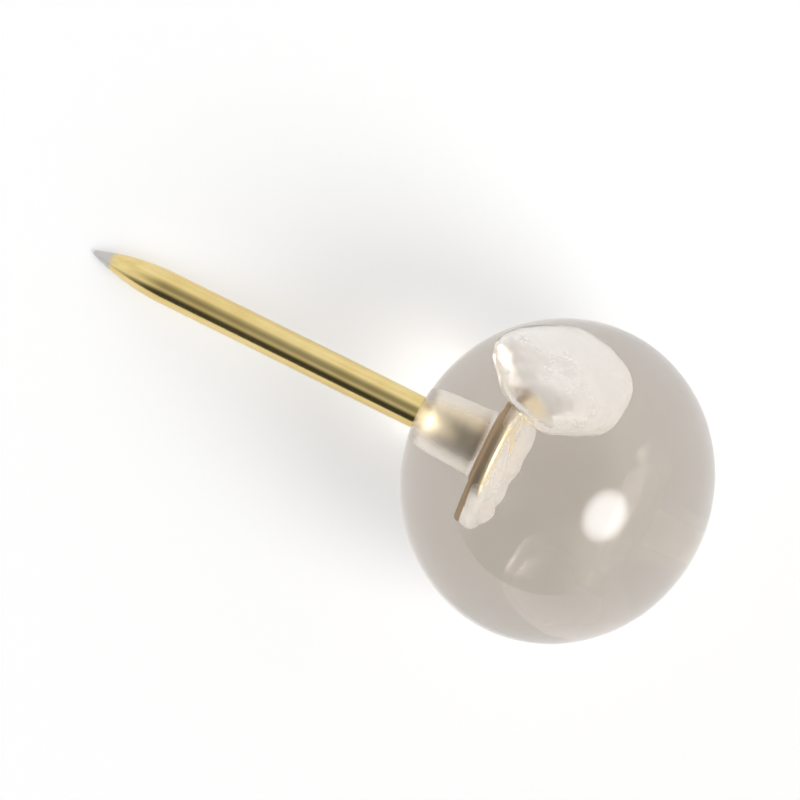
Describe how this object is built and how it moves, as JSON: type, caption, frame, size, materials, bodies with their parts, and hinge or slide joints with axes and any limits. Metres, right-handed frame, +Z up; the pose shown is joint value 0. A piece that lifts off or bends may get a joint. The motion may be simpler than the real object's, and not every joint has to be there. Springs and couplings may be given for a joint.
{
  "type": "push pin",
  "caption": "Push pin with a clear ball head moulded around a gold-coloured headed needle, lying on its ball and point.",
  "frame": {"origin": "on the table, under the middle of the lying pin's length and on its plane of symmetry", "axes": "+Z up from the table, +X along the pin from the ball towards the point, +Y across it; the needle dips 17.6 degrees below +X"},
  "size_m": [0.0222, 0.011, 0.0109],
  "materials": {
    "clear_plastic": "clear, polished, colourless",
    "gold_plate": "bright drawn wire with a thin gold-coloured plating"
  },
  "bodies": {
    "root": {"ball_head": "clear_plastic", "needle": "gold_plate"}
  },
  "joints": []
}
